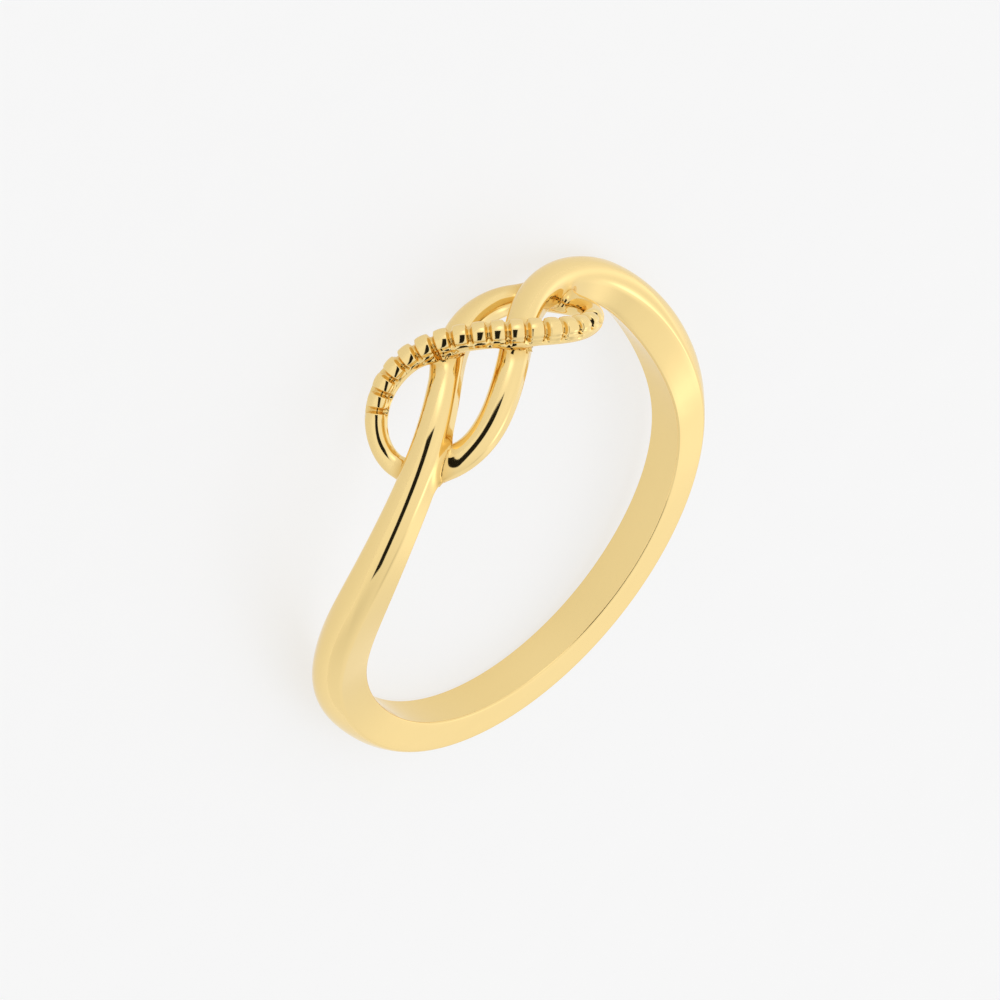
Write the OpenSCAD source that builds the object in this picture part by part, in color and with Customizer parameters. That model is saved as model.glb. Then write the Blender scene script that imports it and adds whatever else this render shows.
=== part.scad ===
// Infinity ring: a cast finger ring whose wire is drawn round one half of the finger as a band,
// rises over two shoulders and crosses itself on top as a figure of eight lying on its side.
// The wire is one closed loop. A half turn about the head's middle carries one half onto the other.
// The ring lies on its side, as it would by itself: the head is wider than the band, so it rests on
// one place of the head and on the far side of the band. The origin is under its middle, on that surface.

/* [Band] */
// Inside diameter, across the finger
finger_d = 17; // [15:0.5:21]
// Width of the band along the finger
band_w = 1.65; // [1.5:0.05:2]
// Thickness of the band at its middle, away from the finger
band_t = 1.7; // [1.6:0.05:1.8]
// Thickness of the band at its flat sides, between which its outer side is domed
band_side = 1.4; // [1.3:0.05:1.5]
// Radius of the band's worn edges
edge_r = 0.15; // [0.08:0.01:0.2]

/* [Head] */
// Length of the figure of eight round the finger, between its wire's middle lines
head_l = 10.5; // [10.2:0.1:10.9]
// Width of the figure of eight along the finger, between its wire's middle lines
head_w = 4.6; // [4.4:0.1:4.8]
// Rise of the head's middle over the band's middle line
head_rise = 3.7; // [3.5:0.1:3.9]
// Thickness of the wire in the loops
wire_d = 1.2; // [1.15:0.05:1.35]

/* [Ribs] */
// Distance between two grooves, along the ribbed strand
rib_pitch = 0.73; // [0.66:0.01:0.74]
// Width of a groove
groove_w = 0.26; // [0.18:0.01:0.32]
// Depth of a groove
groove_d = 0.15; // [0.08:0.01:0.2]
// Number of grooves on each side of the head's middle
rib_pairs = 8; // [5:1:8]

/* [Hidden] */

// Half of the wire, from the head's middle past a loop's end and down a shoulder to the band.
// A row is a control point of one smooth cubic curve, and its columns are
//   along: way round the finger, as a share of the angle that half the head takes
//   turn:  way round the finger that is added to it, as a share of a quarter turn
//   side:  place along the finger, as a share of half the head's width
//   lift:  height over the band's middle line, as a share of the head's rise
//   wide:  thickness, as a share of the wire's or the band's
//   grow:  how far the section has turned from the wire's into the band's
//   top:   roundness of the section's outer corners, 1 for a round wire
//   foot:  roundness of its inner corners
HALF_WIRE = [
    [ 0.00,  0.00,  0.00, 1.00, 0.90, 0.00, 1.00, 0.80],
    [ 0.35,  0.00, -0.65, 0.95, 0.90, 0.00, 1.00, 0.80],
    [ 0.75,  0.00, -0.85, 0.75, 0.85, 0.00, 1.00, 0.90],
    [ 1.10,  0.00, -0.45, 0.60, 0.70, 0.00, 1.00, 1.00],
    [ 1.25,  0.00,  0.25, 0.40, 0.75, 0.00, 1.00, 1.00],
    [ 0.90,  0.00,  1.00, 0.35, 0.95, 0.00, 1.00, 1.00],
    [ 0.35,  0.00,  1.05, 0.40, 1.00, 0.00, 1.00, 0.60],
    [-0.15,  0.00,  0.50, 0.70, 1.00, 0.00, 1.00, 0.40],
    [-0.60,  0.00, -0.35, 0.70, 1.05, 0.00, 1.00, 0.20],
    [ 0.00, -0.33, -0.85, 0.55, 1.10, 0.10, 1.00, 0.20],
    [ 0.00, -0.55, -0.85, 0.35, 1.20, 0.50, 1.00, 0.40],
    [ 0.00, -0.75, -0.50, 0.20, 1.20, 1.00, 1.00, 1.00],
    [ 0.00, -0.95, -0.15, 0.10, 1.20, 1.00, 1.00, 1.00],
    [ 0.00, -1.10, -0.05, 0.05, 1.10, 1.00, 1.00, 1.00],
    [ 0.00, -1.25,  0.00, 0.00, 1.00, 1.00, 1.00, 1.00],
    [ 0.00, -1.45,  0.00, 0.00, 1.00, 1.00, 1.00, 1.00],
    [ 0.00, -1.60,  0.00, 0.00, 1.00, 1.00, 1.00, 1.00]
];
LAST = len(HALF_WIRE) - 2;

band_reach = finger_d / 2 + band_t / 2;
head_turn = asin(head_l / 2 / (band_reach + head_rise));

// Directions of a section's corner points, from across the wire round by way of its outer side. Those
// near a quarter turn are two more, for the outer side's dome, and lie nearer to its middle.
CORNER_SIDES = 4;
CORNER_TURN = 90 / CORNER_SIDES;
DOME_TURN = 4;
DOME_SHARE = 0.4;
DIRECTIONS = [
    for (i = [0:CORNER_SIDES - 1]) (i + 0.5) * CORNER_TURN,
    90 - DOME_TURN,
    90 + DOME_TURN,
    for (i = [CORNER_SIDES:4 * CORNER_SIDES - 1]) (i + 0.5) * CORNER_TURN
];
SECTION_SIDES = len(DIRECTIONS);
// Distance between two sections, as a share of a row's stretch
SECTION_STEP = 0.25;
// Stretch over which the curve's direction is taken
TANGENT_STEP = 0.01;
// How far the wire's ends reach into the band, as a share of a row's stretch, and how much smaller they are
LAP = 0.2;
SEAT = 0.01;

// What one row of the table means in millimetres and degrees:
// angle, place along the finger, distance from its axis, width, thickness, outer and inner corner radius,
// height of the dome on the outer side
function measured(row) =
    let (wire = row[4] * wire_d, grow = row[5])
    let (w = wire + grow * (band_w - wire), t = row[4] * (wire_d + grow * (band_t - wire_d)))
    let (small = min(w, t) / 2)
    [
        row[0] * head_turn + row[1] * 90,
        row[2] * head_w / 2,
        band_reach + row[3] * head_rise,
        w,
        t,
        row[6] * small + grow * grow * (edge_r - row[6] * small),
        row[7] * small + grow * (edge_r - row[7] * small),
        grow * (t - band_side)
    ];

ROWS = [for (row = HALF_WIRE) measured(row)];

// The row before the first is the second one, a half turn round
function row_at(i) = i < 0 ? [-ROWS[-i][0], -ROWS[-i][1], for (k = [2:7]) ROWS[-i][k]] : ROWS[i];

// Values of the curve at t, a row's number and a share of the way to the next one
function curve(t) =
    let (i = min(floor(t), LAST - 1), u = t - i)
    ((1 - u) ^ 3 * row_at(i - 1) + (3 * u ^ 3 - 6 * u ^ 2 + 4) * row_at(i)
        + (-3 * u ^ 3 + 3 * u ^ 2 + 3 * u + 1) * row_at(i + 1) + u ^ 3 * row_at(i + 2)) / 6;

function place(v) = [v[2] * sin(v[0]), v[1], v[2] * cos(v[0])];
function unit(v) = v / norm(v);

// Length of the curve from the head's middle, beside t, for finding t from a length
LENGTH_STEP = 0.05;
LENGTHS = [
    for (
        t = 0, s = 0;
        t <= 4;
        s = s + norm(place(curve(t + LENGTH_STEP)) - place(curve(t))), t = t + LENGTH_STEP
    ) [s, t]
];
function at_length(s) = lookup(s, LENGTHS);

// Grooves lie half a pitch, one and a half and so on from the head's middle
GROOVES = [for (k = [0:rib_pairs - 1]) (k + 0.5) * rib_pitch];
// Places across a groove, as shares of its width, and how deep it is there, as shares of its depth
GROOVE_PROFILE = [[-0.5, 0], [-0.18, 1], [0.18, 1], [0.5, 0]];
// A groove is cut from above, so it runs out on the wire's sides and leaves a smooth rim there
RIM_EDGE = 0.02;
RIM_SLOPE = 5;
function groove_share(n) = max(0, min(1, RIM_SLOPE * (n[2] - RIM_EDGE)));

// Sections of half of the wire, each as where it is on the curve and how deep a groove is there
STATIONS = [
    [0, 0],
    for (g = GROOVES) for (p = GROOVE_PROFILE) [at_length(g + p[0] * groove_w), p[1] * groove_d],
    for (
        t = at_length(GROOVES[rib_pairs - 1] + rib_pitch / 2);
        t < LAST - SECTION_STEP / 2;
        t = t + SECTION_STEP
    ) [t, 0],
    [LAST, 0]
];

// Corner points of one section, in its own plane: x across the wire, y away from the finger
function section(v, inset) = [
    for (a = DIRECTIONS)
        let (r = a < 180 ? v[5] : v[6], share = abs(a - 90) > DOME_TURN ? 1 : DOME_SHARE)
        let (x = sign(cos(a)) * share * (v[3] / 2 - inset - r) + r * cos(a))
        let (y = sign(sin(a)) * (v[4] / 2 - inset - r) + r * sin(a))
        [x, a < 180 ? y - v[7] * (2 * x / v[3]) ^ 2 : y]
];

// The same points round the finger, on the half of the wire that way is 1 or -1 for
function section_at(station, way) =
    let (
        t = station[0],
        v = curve(t),
        middle = place(v),
        along = unit(place(curve(t + TANGENT_STEP)) - place(curve(t - TANGENT_STEP))),
        away = [sin(v[0]), 0, cos(v[0])],
        out = unit(away - (away * along) * along),
        across = cross(along, out)
    )
    [
        for (q = section(v, SEAT))
            let (n = unit(q[0] * across + q[1] * out))
            let (p = middle + q[0] * across + q[1] * out - station[1] * groove_share(n) * n)
            [way * p[0], way * p[1], p[2]]
    ];

WIRE = [for (way = [1, -1]) [for (s = STATIONS) section_at(s, way)]];

// Half of the wire as one closed solid. Both halves start on the same face, so their first corners match.
module half_wire(half) {
    rings = WIRE[half];
    count = len(rings);
    first = half == 0 ? SECTION_SIDES - 1 : SECTION_SIDES - 2 * CORNER_SIDES;
    polyhedron(
        points = [for (r = rings) for (p = r) p],
        faces = [
            [for (j = [0:SECTION_SIDES - 1]) (first - j + SECTION_SIDES) % SECTION_SIDES],
            [for (j = [0:SECTION_SIDES - 1]) (count - 1) * SECTION_SIDES + j],
            for (i = [0:count - 2]) for (j = [0:SECTION_SIDES - 1])
                let (a = i * SECTION_SIDES + j, b = i * SECTION_SIDES + (j + 1) % SECTION_SIDES)
                [a, b, b + SECTION_SIDES, a + SECTION_SIDES]
        ]
    );
}

// The band from one shoulder's foot to the other, with a true round inside
band_start = -curve(LAST - LAP)[0];
module band() {
    rotate([-90, 0, 0])
        rotate([0, 0, band_start - 90])
            rotate_extrude(angle = 360 - 2 * band_start, $fn = 180)
                translate([band_reach, 0])
                    polygon([for (q = section(ROWS[LAST], 0)) [q[1], q[0]]]);
}

// The band's corners, for finding how low and how wide the ring is
BAND_STEP = 3;
BAND = [
    for (a = [band_start:BAND_STEP:360 - band_start]) for (q = section(ROWS[LAST], 0))
        [(band_reach + q[1]) * sin(a), q[0], (band_reach + q[1]) * cos(a)]
];

// Height of the middle of the ring's weight over the finger's axis
WEIGHTS = [
    for (t = [0:SECTION_STEP:LAST - SECTION_STEP])
        let (v = curve(t), p = place(v), size = v[3] * v[4] * norm(place(curve(t + SECTION_STEP)) - p))
        [size, size * p[2]],
    for (a = [band_start:BAND_STEP:180])
        let (size = band_w * band_t * band_reach * BAND_STEP * PI / 180)
        [size, size * band_reach * cos(a)]
];
function sum(list, k) = [for (row = list) row[k]] * [for (row = list) 1];
weight_z = sum(WEIGHTS, 1) / sum(WEIGHTS, 0);

// The surface that the ring comes to rest on touches its farthest points along the finger and slopes by
// lean for each millimetre away from the finger and by sway for each one across it. Of all such surfaces
// it is the one that the middle of the weight is nearest to.
function farthest(points) = let (far = max([for (p = points) p[1]])) [for (p = points) if (p[1] >= far) p][0];
TOUCHING = [
    for (rings = WIRE) for (r = rings) farthest(r),
    for (p = BAND) if (p[1] >= band_w / 2 - edge_r) p
];
function surface_y(lean, sway) = max([for (p = TOUCHING) p[1] - lean * p[2] - sway * p[0]]);
function least(f, low, high, tries) =
    let (a = low + (high - low) / 3, b = high - (high - low) / 3)
    tries == 0 ? (low + high) / 2 : f(a) < f(b) ? least(f, low, b, tries - 1) : least(f, a, high, tries - 1);
MOST_SLOPE = 0.4;
SLOPE_TRIES = 20;
function best_lean(sway) =
    least(function (lean) surface_y(lean, sway) + lean * weight_z, 0, MOST_SLOPE, SLOPE_TRIES);
sway = least(
    function (s) let (lean = best_lean(s)) surface_y(lean, s) + lean * weight_z,
    -MOST_SLOPE, MOST_SLOPE, SLOPE_TRIES
);
lean = best_lean(sway);

// Directions of the lying ring's frame, seen from the finger's: up is away from that surface
up = unit([sway, -1, lean]);
ahead = unit([0, 0, 1] - up[2] * up);
right = cross(ahead, up);
function lying(p) = [p * right, p * ahead, p * up];
LYING = [for (rings = WIRE) for (r = rings) for (p = r) lying(p), for (p = BAND) lying(p)];
function least_of(k) = min([for (p = LYING) p[k]]);
function most_of(k) = max([for (p = LYING) p[k]]);

// Lays what is modelled round an upright finger on the surface, with its middle over the origin
module laid() {
    multmatrix([
        [right[0], right[1], right[2], -(least_of(0) + most_of(0)) / 2],
        [ahead[0], ahead[1], ahead[2], -(least_of(1) + most_of(1)) / 2],
        [up[0], up[1], up[2], -least_of(2)],
        [0, 0, 0, 1]
    ])
        children();
}

module ring() {
    color("#E9C46A")
        laid()
            union() {
                band();
                half_wire(0);
                half_wire(1);
            }
}

ring();
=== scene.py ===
"""A polished gold infinity ring lying on its side: its smooth metal, the light round it and the camera."""

import math

import bpy
import numpy as np
from mathutils import Matrix


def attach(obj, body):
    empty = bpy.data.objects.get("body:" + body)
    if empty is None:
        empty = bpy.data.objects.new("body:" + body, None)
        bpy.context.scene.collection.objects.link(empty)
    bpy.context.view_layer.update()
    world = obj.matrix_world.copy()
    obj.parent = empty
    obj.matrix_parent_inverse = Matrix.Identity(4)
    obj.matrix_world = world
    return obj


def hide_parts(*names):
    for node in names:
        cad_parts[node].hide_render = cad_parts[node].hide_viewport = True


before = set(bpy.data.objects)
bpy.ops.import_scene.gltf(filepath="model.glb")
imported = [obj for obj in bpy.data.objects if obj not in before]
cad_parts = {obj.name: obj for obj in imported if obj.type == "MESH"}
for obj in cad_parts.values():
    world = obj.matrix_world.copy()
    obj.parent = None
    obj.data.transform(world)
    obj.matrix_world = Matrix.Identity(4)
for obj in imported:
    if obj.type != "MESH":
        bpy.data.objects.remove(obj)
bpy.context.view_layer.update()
MM = 0.001

# Sizes of the ring in millimetres, the same as the solid's
FINGER_D = 17.0
BAND_W = 1.65
BAND_T = 1.7
BAND_SIDE = 1.4
HEAD_L = 10.5
HEAD_W = 4.6
HEAD_RISE = 3.7
WIRE_D = 1.2
RIB_PITCH = 0.73
RIB_PAIRS = 8
GROOVE_W = 0.26
GROOVE_D = 0.15
# Radius of the band's edges, a little crisper than the solid's
EDGE_R = 0.09

# Control points of half of the wire, from the head's middle down a shoulder to the band. The columns:
# along, the way round the finger as a share of half the head's angle; turn, added to it as a share of a
# quarter turn; side, the place along the finger as a share of half the head's width; lift, the height over
# the band's middle line as a share of the head's rise; wide, the thickness as a share of the wire's or the
# band's; grow, how far the section is the band's; top and foot, how round its outer and inner corners are.
HALF_WIRE = np.array([
    [0.00, 0.00, 0.00, 1.00, 0.90, 0.00, 1.00, 0.80],
    [0.35, 0.00, -0.65, 0.95, 0.90, 0.00, 1.00, 0.80],
    [0.75, 0.00, -0.85, 0.75, 0.85, 0.00, 1.00, 0.90],
    [1.10, 0.00, -0.45, 0.60, 0.70, 0.00, 1.00, 1.00],
    [1.25, 0.00, 0.25, 0.40, 0.75, 0.00, 1.00, 1.00],
    [0.90, 0.00, 1.00, 0.35, 0.95, 0.00, 1.00, 1.00],
    [0.35, 0.00, 1.05, 0.40, 1.00, 0.00, 1.00, 0.60],
    [-0.15, 0.00, 0.50, 0.70, 1.00, 0.00, 1.00, 0.40],
    [-0.60, 0.00, -0.35, 0.70, 1.05, 0.00, 1.00, 0.20],
    [0.00, -0.33, -0.85, 0.55, 1.10, 0.10, 1.00, 0.20],
    [0.00, -0.55, -0.85, 0.35, 1.20, 0.50, 1.00, 0.40],
    [0.00, -0.75, -0.50, 0.20, 1.20, 1.00, 1.00, 1.00],
    [0.00, -0.95, -0.15, 0.10, 1.20, 1.00, 1.00, 1.00],
    [0.00, -1.10, -0.05, 0.05, 1.10, 1.00, 1.00, 1.00],
    [0.00, -1.25, 0.00, 0.00, 1.00, 1.00, 1.00, 1.00],
    [0.00, -1.45, 0.00, 0.00, 1.00, 1.00, 1.00, 1.00],
    [0.00, -1.60, 0.00, 0.00, 1.00, 1.00, 1.00, 1.00],
])
LAST = len(HALF_WIRE) - 2
HALF_TURN = np.array([-1.0, -1.0, 1.0])


# Columns of a measured row: angle in degrees, place along the finger, distance from its axis, width,
# thickness, outer and inner corner radius, and how much lower the domed side is at its edges
TURN, SIDE, REACH, WIDTH, THICK, OUTER_R, INNER_R, DOME = range(8)


def measured():
    """The table's rows in millimetres and degrees."""
    along, turn, side, lift, wide, grow, top, foot = HALF_WIRE.T
    reach = FINGER_D / 2 + BAND_T / 2
    head_turn = math.degrees(math.asin(HEAD_L / 2 / (reach + HEAD_RISE)))
    wire = wide * WIRE_D
    w = wire + grow * (BAND_W - wire)
    t = wide * (WIRE_D + grow * (BAND_T - WIRE_D))
    small = np.minimum(w, t) / 2
    return np.stack([
        along * head_turn + turn * 90,
        side * HEAD_W / 2,
        reach + lift * HEAD_RISE,
        w,
        t,
        top * small + grow**2 * (EDGE_R - top * small),
        foot * small + grow * (EDGE_R - foot * small),
        grow * (t - BAND_SIDE),
    ], 1)


ROWS = measured()
BEFORE = ROWS[1:2].copy()
BEFORE[:, [TURN, SIDE]] *= -1
CONTROL = np.vstack([BEFORE, ROWS])


def curve(t):
    """The smooth cubic curve's values at t, also a little before the head's middle."""
    way = np.where(t < 0, -1.0, 1.0)
    t = np.abs(t)
    i = np.clip(np.floor(t).astype(int), 0, LAST - 1)
    u = (t - i)[:, None]
    v = (
        (1 - u) ** 3 * CONTROL[i]
        + (3 * u**3 - 6 * u**2 + 4) * CONTROL[i + 1]
        + (-3 * u**3 + 3 * u**2 + 3 * u + 1) * CONTROL[i + 2]
        + u**3 * CONTROL[i + 3]
    ) / 6
    v[:, [TURN, SIDE]] *= way[:, None]
    return v


def place(v):
    """Points of the middle line, with the finger along Y and the head's middle up."""
    a = np.radians(v[:, TURN])
    return np.stack([v[:, REACH] * np.sin(a), v[:, SIDE], v[:, REACH] * np.cos(a)], 1)


def unit(v):
    return v / np.linalg.norm(v, axis=-1, keepdims=True)


def lengths(points):
    """Length along a line of points, from its first one to each."""
    return np.concatenate([[0], np.cumsum(np.linalg.norm(np.diff(points, axis=0), axis=1))])


FINE_COUNT = 4001


def spaced(start, end, step):
    """Values of the curve's parameter from start to end, about step millimetres apart."""
    fine = np.linspace(start, end, FINE_COUNT)
    length = lengths(place(curve(fine)))
    count = max(2, int(round(length[-1] / step)) + 1)
    return np.interp(np.linspace(0, length[-1], count), length, fine)


# The ribbed strand lies within the first rows of the table
RIBBED_ROWS = 4
FINE = np.linspace(0, RIBBED_ROWS, FINE_COUNT)
FINE_LENGTH = lengths(place(curve(FINE)))
RIBBED_LENGTH = RIB_PAIRS * RIB_PITCH
RIBBED_T = float(np.interp(RIBBED_LENGTH, FINE_LENGTH, FINE))

# Stations of half of the wire: closest together over the grooves' walls, then wider, then round the
# band's far half. The shares of half a rib's pitch lead from a groove's middle to a rib's.
RIB_SHARES = np.array([0, 0.1, 0.18, 0.23, 0.27, 0.31, 0.35, 0.39, 0.43, 0.5, 0.62, 0.8, 1])
RIB_OFFSETS = np.concatenate([-RIB_SHARES[:0:-1], RIB_SHARES[:-1]]) * RIB_PITCH / 2
RIB_ARC = np.append(
    np.concatenate([(k + 0.5) * RIB_PITCH + RIB_OFFSETS for k in range(RIB_PAIRS)]), RIBBED_LENGTH
)
T_RIBS = np.interp(RIB_ARC, FINE_LENGTH, FINE)
WIRE_STEP = 0.11
T_REST = spaced(RIBBED_T, LAST, WIRE_STEP)[1:]
T_WIRE = np.concatenate([T_RIBS, T_REST])
V_WIRE = curve(T_WIRE)
BAND_STEPS = 44
LAST_ANGLE = V_WIRE[-1, TURN]
V_BAND = np.repeat(V_WIRE[-1:], BAND_STEPS, axis=0)
V_BAND[:, TURN] = np.linspace(LAST_ANGLE, -180, BAND_STEPS + 1)[1:]
V = np.vstack([V_WIRE, V_BAND])

TANGENT_STEP = 0.01
TANGENT = place(curve(T_WIRE + TANGENT_STEP)) - place(curve(T_WIRE - TANGENT_STEP))


def round_finger(degrees):
    """Direction of the band, where it is part of a circle."""
    a = np.radians(degrees)
    return np.stack([-np.cos(a), 0 * a, np.sin(a)], -1)


TANGENT[T_WIRE > LAST - TANGENT_STEP] = round_finger(LAST_ANGLE)
TANGENT = unit(np.vstack([TANGENT, round_finger(V_BAND[:, TURN])]))
ANGLE = np.radians(V[:, TURN])
AWAY = np.stack([np.sin(ANGLE), 0 * ANGLE, np.cos(ANGLE)], 1)
OUT = unit(AWAY - (AWAY * TANGENT).sum(1)[:, None] * TANGENT)
ACROSS = np.cross(TANGENT, OUT)
MIDDLE = place(V)

# Points round a section, as a direction and a share of each side's straight part: nine round a corner,
# and more across the flat or domed sides between
CORNER_POINTS = 9
CORNER_FROM = 10.0
BETWEEN = (9, 5, 5, 5)


def around():
    """Directions and shares of a section's points, and where its straight sides start."""
    direction, share_x, flats = [], [], []
    for quarter, between in enumerate(BETWEEN):
        for k in range(CORNER_POINTS):
            direction.append(quarter * 90 + CORNER_FROM + (90 - 2 * CORNER_FROM) * k / (CORNER_POINTS - 1))
            share_x.append(1.0)
        if quarter:
            flats.append((len(direction), between))
        for k in range(1, between + 1):
            f = k / (between + 1)
            direction.append(quarter * 90 + 90 - CORNER_FROM + 2 * CORNER_FROM * f)
            share_x.append(1.0 if quarter else abs(1 - 2 * f))
    return np.array(direction) % 360, np.array(share_x), flats


# Sides: after the first corner comes the outer side, then a flat one, then the inner one, then a flat one
DIRECTION, SHARE_X, FLATS = around()
SIDES = len(DIRECTION)


def sections(v):
    """Points of each section, across the strand and out from it."""
    a = np.radians(DIRECTION)[None]
    outer = np.sin(a) > 0
    width = v[:, [WIDTH]]
    r = np.where(outer, v[:, [OUTER_R]], v[:, [INNER_R]])
    x = np.sign(np.cos(a)) * SHARE_X * (width / 2 - r) + r * np.cos(a)
    y = np.sign(np.sin(a)) * (v[:, [THICK]] / 2 - r) + r * np.sin(a)
    y = np.where(outer, y - v[:, [DOME]] * (2 * x / width) ** 2, y)
    # a flat side runs straight from the last point of one corner to the first of the next
    for start, between in FLATS:
        first, last = start - 1, (start + between) % SIDES
        for k in range(between):
            f = (k + 1) / (between + 1)
            x[:, start + k] = (1 - f) * x[:, first] + f * x[:, last]
            y[:, start + k] = (1 - f) * y[:, first] + f * y[:, last]
    return x, y


X, Y = sections(V)
P = MIDDLE[:, None] + X[..., None] * ACROSS[:, None] + Y[..., None] * OUT[:, None]

# Each half reaches from the head's middle to the band's far point, and shares its first and last
# section with the other half, where a half turn carries a section onto itself, turned over
COUNT = len(V)
MIRROR = np.array([
    int(np.argmin(np.abs((DIRECTION - (180 - d) + 180) % 360 - 180))) for d in DIRECTION
])


def whole(half):
    """Both halves as one closed loop of sections, from a half's sections."""
    other = half[1:-1][:, MIRROR] * HALF_TURN
    return np.concatenate([half, other[::-1]])


# The strands are cast together: near another strand the surface swells into a small fillet, all within
# this distance of it. The other lengths say which points are worth measuring: where the head begins over
# the finger's axis, how far along the wire it is still the same strand, and how near another one passes.
FILLET = 0.6
HEAD_FROM = 6.0
SAME_STRAND = 3.0
STRANDS_NEAR = 2.6
POINTS_NEAR = 3.2
FAR_OFF = 9.0
CENTRES = whole(np.repeat(MIDDLE[:, None], SIDES, axis=1))[:, 0]


def facing_out(loop):
    """Normals of a closed grid of points, away from the wire's middle line."""
    ahead = np.roll(loop, -1, axis=0) - np.roll(loop, 1, axis=0)
    about = np.roll(loop, -1, axis=1) - np.roll(loop, 1, axis=1)
    normal = unit(np.cross(about, ahead))
    return normal if np.mean(np.sum((loop - CENTRES[:, None]) * normal, axis=2)) > 0 else -normal


def distance_to_other(points):
    """How far each point of the first half is from the surface of the strand it meets, and the way out."""
    v = np.vstack([V, V[1:-1][::-1]])
    across = np.vstack([ACROSS, (ACROSS[1:-1] * HALF_TURN)[::-1]])
    out = np.vstack([OUT, (OUT[1:-1] * HALF_TURN)[::-1]])
    arc = lengths(CENTRES)
    total = arc[-1] + np.linalg.norm(CENTRES[0] - CENTRES[-1])
    result = np.full((COUNT, SIDES), FAR_OFF)
    gradient = np.zeros((COUNT, SIDES, 3))
    count = len(CENTRES)
    wire = np.where(CENTRES[:, 2] > HEAD_FROM)[0]
    for i in range(COUNT):
        gap = np.abs(arc[wire] - arc[i])
        gap = np.minimum(gap, total - gap)
        near = wire[gap > SAME_STRAND]
        d = np.linalg.norm(CENTRES[near] - MIDDLE[i], axis=1)
        if d.min() > STRANDS_NEAR:
            continue
        near = near[d < POINTS_NEAR]
        after = (near + 1) % count
        step = CENTRES[after] - CENTRES[near]
        q = points[i][:, None] - CENTRES[near][None]
        f = np.clip((q * step).sum(2) / (step**2).sum(1), 0, 1)
        nearest = np.argmin(((q - f[..., None] * step) ** 2).sum(2), axis=1)
        for j in range(SIDES):
            k = nearest[j]
            n, m, g = near[k], after[k], f[j, k]
            q_at = q[j, k] - g * step[k]
            row = (1 - g) * v[n] + g * v[m]
            turned = unit((1 - g) * across[n] + g * across[m] * np.sign(across[n] @ across[m]))
            away = unit((1 - g) * out[n] + g * out[m])
            x, y = float(q_at @ turned), float(q_at @ away)
            r = row[OUTER_R] if y > 0 else row[INNER_R]
            ax, ay = abs(x) - (row[WIDTH] / 2 - r), abs(y) - (row[THICK] / 2 - r)
            result[i, j] = math.hypot(max(ax, 0), max(ay, 0)) + min(max(ax, ay), 0) - r
            slope = math.copysign(max(ax, 0), x) * turned + math.copysign(max(ay, 0), y) * away
            if slope.any():
                gradient[i, j] = unit(slope)
    return result, gradient


# Where two surfaces meet, each swells by a quarter of the fillet, halfway between the two ways out
HALF_NORMAL = facing_out(whole(P))[:COUNT]
OTHER, OTHER_OUT = distance_to_other(P)
SHARE = np.clip(1 - np.abs(OTHER) / FILLET, 0, 1)
SWELL = FILLET / 4 * SHARE**2
WEIGHT = (0.5 * SHARE)[..., None]
TOWARD = unit(HALF_NORMAL * (1 - WEIGHT) + OTHER_OUT * WEIGHT)
COSINE = np.clip((TOWARD * HALF_NORMAL).sum(2), 0.5, 1)
P = P + (SWELL / COSINE)[..., None] * TOWARD
LOOP = whole(P)
NORMAL = facing_out(LOOP)

# Ribs: a groove is a rounded channel cut from above, so it runs out on the wire's sides and leaves a smooth
# rim there. Its walls go down between these two distances from its middle, as shares of its width, and it
# starts where the normal's upward part passes the rim's edge.
GROOVE_FLOOR = 0.16
GROOVE_MOUTH = 0.58
RIM_EDGE = -0.02
RIM_SLOPE = 9.0
# A rib is a small pillow, lower towards its grooves, and a shallow furrow parts the ribs from each rim
PILLOW = 0.07
FURROW = 0.06
FURROW_AT = 0.2
FURROW_WIDE = 0.2


def from_groove(s):
    """Distance from the nearest groove's middle, at s along the ribbed strand from the head's middle."""
    return np.abs((s / RIB_PITCH) % 1 - 0.5) * RIB_PITCH


def groove_share(s):
    """How far down a groove the place s is, from none on a rib to all on the groove's floor."""
    f = np.clip((GROOVE_MOUTH - from_groove(s) / GROOVE_W) / (GROOVE_MOUTH - GROOVE_FLOOR), 0, 1)
    return f * f * (3 - 2 * f)


def groove_depth(s):
    """How far the ribs' pillows and grooves lie under the smooth wire."""
    return GROOVE_D * groove_share(s) + PILLOW * (1 - 2 * from_groove(s) / RIB_PITCH) ** 2


def both_halves(half):
    """One value for each section of the closed loop, from a half's values."""
    return np.concatenate([half, half[1:-1][::-1]])


def on_ribs(values):
    """Values along the ribbed strand, and none on the rest, for the sections of both halves."""
    half = np.zeros(COUNT)
    half[: len(T_RIBS)] = values
    return both_halves(half)[:, None]


# The furrow fades out over the last half of a pitch
RIBBED = np.clip((RIBBED_LENGTH - RIB_ARC) / (RIB_PITCH / 2), 0, 1)
RISE = NORMAL[..., 2]
CUT = np.clip(RIM_SLOPE * (RISE - RIM_EDGE), 0, 1)
CUT = CUT * CUT * (3 - 2 * CUT)
HOLLOW = np.clip(1 - ((RISE - FURROW_AT) / FURROW_WIDE) ** 2, 0, 1) ** 2
LOWER = on_ribs(groove_depth(RIB_ARC)) * CUT + FURROW * on_ribs(RIBBED) * HOLLOW
LOOP = LOOP - LOWER[..., None] * NORMAL
NORMAL = facing_out(LOOP)

# How far each point lies in a groove or in the corner between two strands, where the gold's colour is
# darkened as painted shade
CORNER_SHADE = np.concatenate([SHARE, SHARE[1:-1][::-1][:, MIRROR]])
PAINTED_SHADE = np.maximum(on_ribs(groove_share(RIB_ARC)) * CUT, CORNER_SHADE)

# The surface that the ring comes to rest on touches its farthest points along the finger, and slopes by
# lean for each millimetre away from the finger and by sway across it. Of all such surfaces it is the one
# that the middle of the weight is nearest to. Only points past this share of the band's half width can
# touch it.
MOST_SLOPE = 0.4
SLOPE_TRIES = 20
TOUCHING_FROM = 0.5


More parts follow.
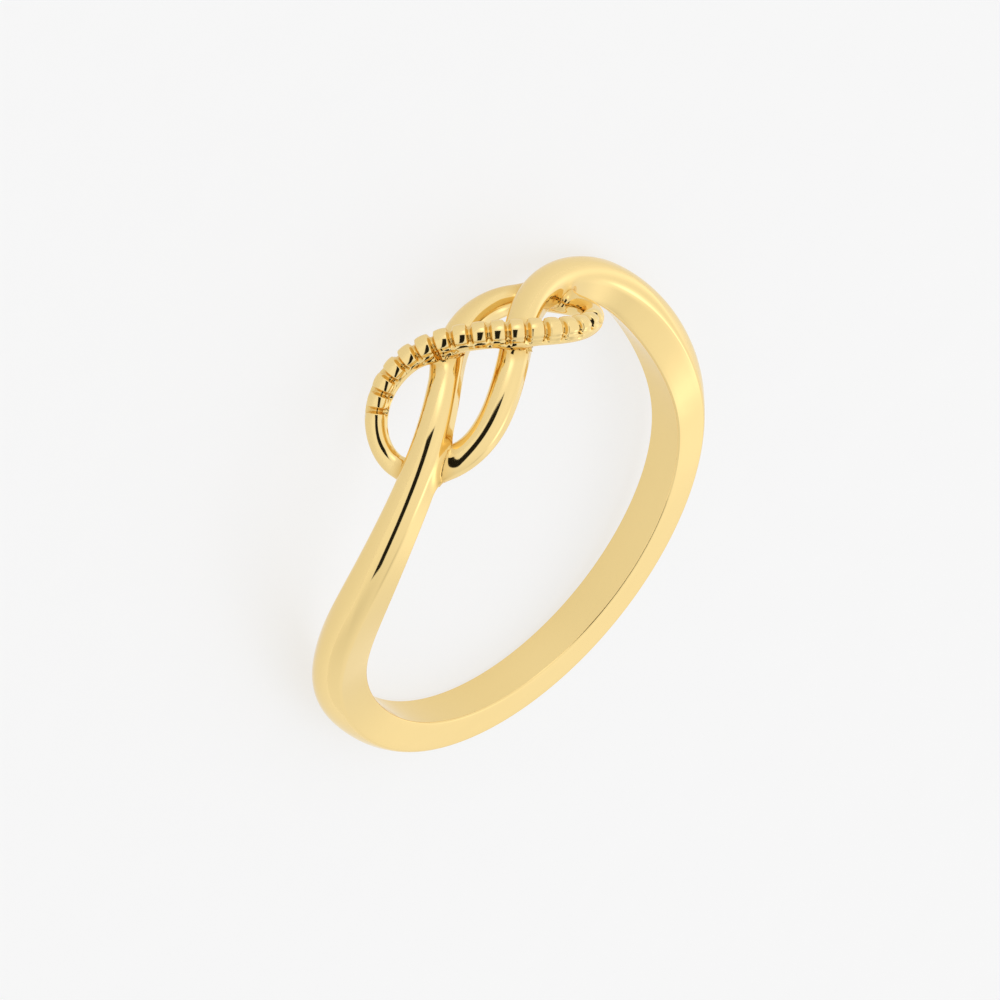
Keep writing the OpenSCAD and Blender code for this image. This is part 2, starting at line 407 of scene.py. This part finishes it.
def least(cost, low, high):
    """Where a cost with one valley is least, between low and high."""
    for _ in range(SLOPE_TRIES):
        third = (high - low) / 3
        a, b = low + third, high - third
        if cost(a) < cost(b):
            high = b
        else:
            low = a
    return (low + high) / 2


def resting_slopes():
    """Lean and sway of the surface that the ring rests on."""
    points = LOOP.reshape(-1, 3)
    points = points[points[:, 1] > TOUCHING_FROM * BAND_W / 2]
    weight = V[1:, WIDTH] * V[1:, THICK] * np.linalg.norm(np.diff(MIDDLE, axis=0), axis=1)
    weight_z = float((weight * MIDDLE[1:, 2]).sum() / weight.sum())

    def distance(lean, sway):
        return (points[:, 1] - lean * points[:, 2] - sway * points[:, 0]).max() + lean * weight_z

    def best_lean(sway):
        return least(lambda lean: distance(lean, sway), 0, MOST_SLOPE)

    sway = least(lambda s: distance(best_lean(s), s), -MOST_SLOPE, MOST_SLOPE)
    return best_lean(sway), sway


LEAN, SWAY = resting_slopes()

# The ring as it lies
UP = unit(np.array([SWAY, -1.0, LEAN]))
AHEAD = unit(np.array([0, 0, 1.0]) - UP[2] * UP)
RIGHT = np.cross(AHEAD, UP)
LIE = np.array([RIGHT, AHEAD, UP])
lying = LOOP @ LIE.T
low, high = lying.reshape(-1, 3).min(0), lying.reshape(-1, 3).max(0)
SHIFT = np.array([-(low[0] + high[0]) / 2, -(low[1] + high[1]) / 2, -low[2]])
lying = lying + SHIFT


def grid_mesh(name, loop, normal, painted_shade):
    """An object from a grid of points that is closed both ways, with its normals and its share of painted
    shade.
    """
    rows, sides = loop.shape[:2]
    index = np.arange(rows * sides).reshape(rows, sides)
    a, b = index, np.roll(index, -1, axis=1)
    c, d = np.roll(b, -1, axis=0), np.roll(a, -1, axis=0)
    faces = np.stack([a, b, c, d], -1).reshape(-1, 4)
    mesh = bpy.data.meshes.new(name)
    mesh.from_pydata((loop.reshape(-1, 3) * MM).tolist(), [], faces.tolist())
    first = faces[0]
    pts = loop.reshape(-1, 3)[first]
    facing = np.cross(pts[1] - pts[0], pts[2] - pts[0]) @ normal.reshape(-1, 3)[first[0]]
    if facing < 0:
        mesh.flip_normals()
    # Each point's share of painted shade, for the material to darken the gold by
    shade_attribute = mesh.attributes.new("painted_shade", "FLOAT", "POINT")
    shade_attribute.data.foreach_set("value", painted_shade.ravel().astype(np.float32))
    mesh.polygons.foreach_set("use_smooth", [True] * len(mesh.polygons))
    mesh.normals_split_custom_set_from_vertices(normal.reshape(-1, 3).tolist())
    mesh.update()
    made = bpy.data.objects.new(name, mesh)
    bpy.context.scene.collection.objects.link(made)
    return made


gold_ring = grid_mesh("polished_ring", lying, NORMAL @ LIE.T, PAINTED_SHADE)


# Sockets of a colour mix node
MIX_FIRST, MIX_SECOND, MIX_RESULT = 6, 7, 2

GOLD = (0.89, 0.67, 0.29, 1)
PALER_GOLD = (0.905, 0.695, 0.32, 1)
# A darker gold, painted shade for the grooves and the corners between strands
SHADED_GOLD = (0.80, 0.53, 0.17, 1)


def nodes_of(material):
    material.use_nodes = True
    return material.node_tree.nodes, material.node_tree.links


def noise(nodes, links, vector, scale, detail):
    """The value of a noise texture over the vector."""
    made = nodes.new("ShaderNodeTexNoise")
    made.inputs["Scale"].default_value = scale
    made.inputs["Detail"].default_value = detail
    links.new(vector, made.inputs["Vector"])
    return made.outputs["Fac"]


def gold_material():
    material = bpy.data.materials.new("polished_gold")
    nodes, links = nodes_of(material)
    shader = nodes["Principled BSDF"]
    shader.inputs["Metallic"].default_value = 1.0
    shader.inputs["Specular Tint"].default_value = (1.0, 0.97, 0.9, 1.0)
    where = nodes.new("ShaderNodeTexCoord").outputs["Object"]

    # Colour drifts a little over the piece
    tone = nodes.new("ShaderNodeMix")
    tone.data_type = "RGBA"
    tone.inputs[MIX_FIRST].default_value = GOLD
    tone.inputs[MIX_SECOND].default_value = PALER_GOLD
    links.new(noise(nodes, links, where, scale=160, detail=3), tone.inputs["Factor"])

    # Painted shade: grooves and corners are darkened in colour
    shade_attribute = nodes.new("ShaderNodeAttribute")
    shade_attribute.attribute_name = "painted_shade"
    shade_mix = nodes.new("ShaderNodeMix")
    shade_mix.data_type = "RGBA"
    shade_mix.inputs[MIX_SECOND].default_value = SHADED_GOLD
    links.new(shade_attribute.outputs["Fac"], shade_mix.inputs["Factor"])
    links.new(tone.outputs[MIX_RESULT], shade_mix.inputs[MIX_FIRST])
    links.new(shade_mix.outputs[MIX_RESULT], shader.inputs["Base Color"])

    # The polish: clearer and duller patches, a slight unevenness and hairline marks
    rough = nodes.new("ShaderNodeMapRange")
    rough.inputs["To Min"].default_value = 0.03
    rough.inputs["To Max"].default_value = 0.10
    links.new(noise(nodes, links, where, scale=900, detail=4), rough.inputs["Value"])
    links.new(rough.outputs["Result"], shader.inputs["Roughness"])

    hair_map = nodes.new("ShaderNodeMapping")
    hair_map.inputs["Rotation"].default_value = (0.4, 0.2, 0.7)
    hair_map.inputs["Scale"].default_value = (1, 30, 30)
    links.new(where, hair_map.inputs["Vector"])
    swell = nodes.new("ShaderNodeBump")
    swell.inputs["Strength"].default_value = 0.25
    swell.inputs["Distance"].default_value = 0.00004
    links.new(noise(nodes, links, where, scale=450, detail=2), swell.inputs["Height"])
    lines = nodes.new("ShaderNodeBump")
    lines.inputs["Strength"].default_value = 0.08
    lines.inputs["Distance"].default_value = 0.000004
    hair = noise(nodes, links, hair_map.outputs["Vector"], scale=700, detail=2)
    links.new(hair, lines.inputs["Height"])
    links.new(swell.outputs["Normal"], lines.inputs["Normal"])
    links.new(lines.outputs["Normal"], shader.inputs["Normal"])
    return material


gold_ring.data.materials.append(gold_material())
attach(gold_ring, "root")
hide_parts("ring")


# The floor is a pale table lit from below, so shadows on it stay light
FLOOR_GLOW = 0.69
FLOOR_HALF = 1.2
FLOOR_GREY = (0.215, 0.215, 0.215, 1)
FLOOR_GRAIN = (0.225, 0.225, 0.225, 1)


def floor_piece():
    mesh = bpy.data.meshes.new("floor")
    corners = [(x * FLOOR_HALF, y * FLOOR_HALF, 0) for x, y in ((-1, -1), (1, -1), (1, 1), (-1, 1))]
    mesh.from_pydata(corners, [], [(0, 1, 2, 3)])
    made = bpy.data.objects.new("floor", mesh)
    bpy.context.scene.collection.objects.link(made)
    material = bpy.data.materials.new("pale_floor")
    nodes, links = nodes_of(material)
    shader = nodes["Principled BSDF"]
    shader.inputs["Roughness"].default_value = 0.6
    grain = nodes.new("ShaderNodeTexNoise")
    grain.inputs["Scale"].default_value = 900
    mix = nodes.new("ShaderNodeMix")
    mix.data_type = "RGBA"
    mix.inputs[MIX_FIRST].default_value = FLOOR_GREY
    mix.inputs[MIX_SECOND].default_value = FLOOR_GRAIN
    links.new(grain.outputs["Fac"], mix.inputs["Factor"])
    links.new(mix.outputs[MIX_RESULT], shader.inputs["Base Color"])
    shader.inputs["Emission Color"].default_value = (1, 1, 1, 1)
    shader.inputs["Emission Strength"].default_value = FLOOR_GLOW
    mesh.materials.append(material)


floor_piece()

# The camera: where it stands to the finger hole, as its outline shows, with the head leaning a little to
# one side. The hole's middle is this many pixels from the picture's left and upper edges. The camera's
# distance and its sensor are in millimetres.
CAMERA_TURN = math.radians(-132.5)
CAMERA_RISE = math.radians(48.1)
HEAD_LEAN = math.radians(7)
PIXELS_PER_MM = 25.1
HOLE_AT = (509, 534)
PICTURE_WIDE = 1000.0
DISTANCE = 708.0
SENSOR = 36.0


def make_camera():
    """Puts the camera in place, and returns its directions: right, up and back from the ring."""
    c, s = math.cos(HEAD_LEAN), math.sin(HEAD_LEAN)
    leaned = np.array([[c, 0, -s], [0, 1, 0], [s, 0, c]])
    ct, st = math.cos(CAMERA_TURN), math.sin(CAMERA_TURN)
    cr, sr = math.cos(CAMERA_RISE), math.sin(CAMERA_RISE)
    side = np.array([-st, ct, 0])
    over = np.array([-sr * ct, -sr * st, cr])
    back = np.array([cr * ct, cr * st, sr])
    to_lying = LIE @ leaned.T
    side, over, back = to_lying @ side, to_lying @ over, to_lying @ back
    data = bpy.data.cameras.new("camera")
    made = bpy.data.objects.new("camera", data)
    bpy.context.scene.collection.objects.link(made)
    matrix = Matrix.Identity(4)
    for k, axis in enumerate((side, over, back)):
        for row in range(3):
            matrix[row][k] = axis[row]
    spot = (SHIFT + back * DISTANCE) * MM
    for row in range(3):
        matrix[row][3] = spot[row]
    made.matrix_world = matrix
    data.sensor_width = SENSOR
    data.lens = SENSOR * PIXELS_PER_MM * DISTANCE / PICTURE_WIDE
    data.shift_x = -(HOLE_AT[0] - PICTURE_WIDE / 2) / PICTURE_WIDE
    data.shift_y = (HOLE_AT[1] - PICTURE_WIDE / 2) / PICTURE_WIDE
    data.clip_start, data.clip_end = 0.01, 10
    bpy.context.scene.camera = made
    return side, over, back


CAM_SIDE, CAM_OVER, CAM_BACK = make_camera()


# The tent round the ring: a soft white, brighter and darker patches, and the dark strip of the camera and
# its stand. The patches' columns: degrees to the right of the camera and above it as the ring sees them,
# the spread of the patch in degrees, and its gain. The strip's top and end are degrees above the camera,
# its middle is degrees to the right of it, and its half width goes from wide at the top to narrow at the end.
TENT = 1.02
PATCHES = [
    (60, -5, 20, 0.05),
    (103, -25, 9, 0.80),
    (14, 44, 13, 0.60),
    (122, 8, 11, 0.28),
    (122, -31, 7, 0.15),
    (145, -30, 12, -0.08),
    (110, -47, 10, -0.24),
    (0, -90, 34, -0.20),
]
STRIP_TOP, STRIP_END = 21, -64
STRIP_WIDE, STRIP_NARROW = 14, 8
STRIP_MIDDLE = 2
STRIP_SHADE = 0.985
STRIP_SOFT = 2.5


def toward_patch(right_deg, up_deg):
    """Direction of a patch from the ring."""
    a, e = math.radians(right_deg), math.radians(up_deg)
    level = CAM_SIDE * math.sin(a) + CAM_BACK * math.cos(a)
    return level * math.cos(e) + CAM_OVER * math.sin(e)


def sky():
    """The light of the tent, as the world's shader."""
    world = bpy.data.worlds.new("studio")
    bpy.context.scene.world = world
    world.use_nodes = True
    nodes, links = world.node_tree.nodes, world.node_tree.links

    def math_node(kind, first, second=None, third=None, clamp=False):
        made = nodes.new("ShaderNodeMath")
        made.operation = kind
        made.use_clamp = clamp
        for k, value in enumerate((first, second, third)):
            if value is None:
                continue
            if isinstance(value, (int, float)):
                made.inputs[k].default_value = value
            else:
                links.new(value, made.inputs[k])
        return made.outputs[0]

    where = nodes.new("ShaderNodeTexCoord").outputs["Generated"]

    def along(axis):
        made = nodes.new("ShaderNodeVectorMath")
        made.operation = "DOT_PRODUCT"
        made.inputs[1].default_value = [float(x) for x in axis]
        links.new(where, made.inputs[0])
        return made.outputs["Value"]

    light = TENT
    for right_deg, up_deg, spread, gain in PATCHES:
        steep = 1 / (1 - math.cos(math.radians(spread)))
        power = math_node("MULTIPLY_ADD", along(toward_patch(right_deg, up_deg)), steep, -steep)
        light = math_node("MULTIPLY_ADD", math_node("EXPONENT", power), gain, light)
    u, v, w = along(CAM_SIDE), along(CAM_OVER), along(CAM_BACK)
    rise = math_node("ARCTAN2", v, w)
    right = math_node("SUBTRACT", math_node("ARCSINE", u), math.radians(STRIP_MIDDLE))
    off = math_node("ABSOLUTE", right)
    top, end = math.radians(STRIP_TOP), math.radians(STRIP_END)
    wide, narrow = math.radians(STRIP_WIDE), math.radians(STRIP_NARROW)
    slope = (wide - narrow) / (top - end)
    half = math_node("MULTIPLY_ADD", rise, slope, narrow - slope * end)
    soft = 1 / math.radians(STRIP_SOFT)
    inside = math_node("MULTIPLY_ADD", math_node("SUBTRACT", half, off), soft, 0.5, clamp=True)
    under = math_node("MULTIPLY_ADD", rise, -soft, soft * top + 0.5, clamp=True)
    above = math_node("MULTIPLY_ADD", rise, soft, 0.5 - soft * end, clamp=True)
    strip = math_node("MULTIPLY", inside, math_node("MULTIPLY", under, above))
    light = math_node("MULTIPLY", light, math_node("MULTIPLY_ADD", strip, -STRIP_SHADE, 1.0))
    background = nodes["Background"]
    background.inputs["Color"].default_value = (1, 1, 1, 1)
    links.new(light, background.inputs["Strength"])


sky()
bpy.context.scene.view_settings.view_transform = "Standard"
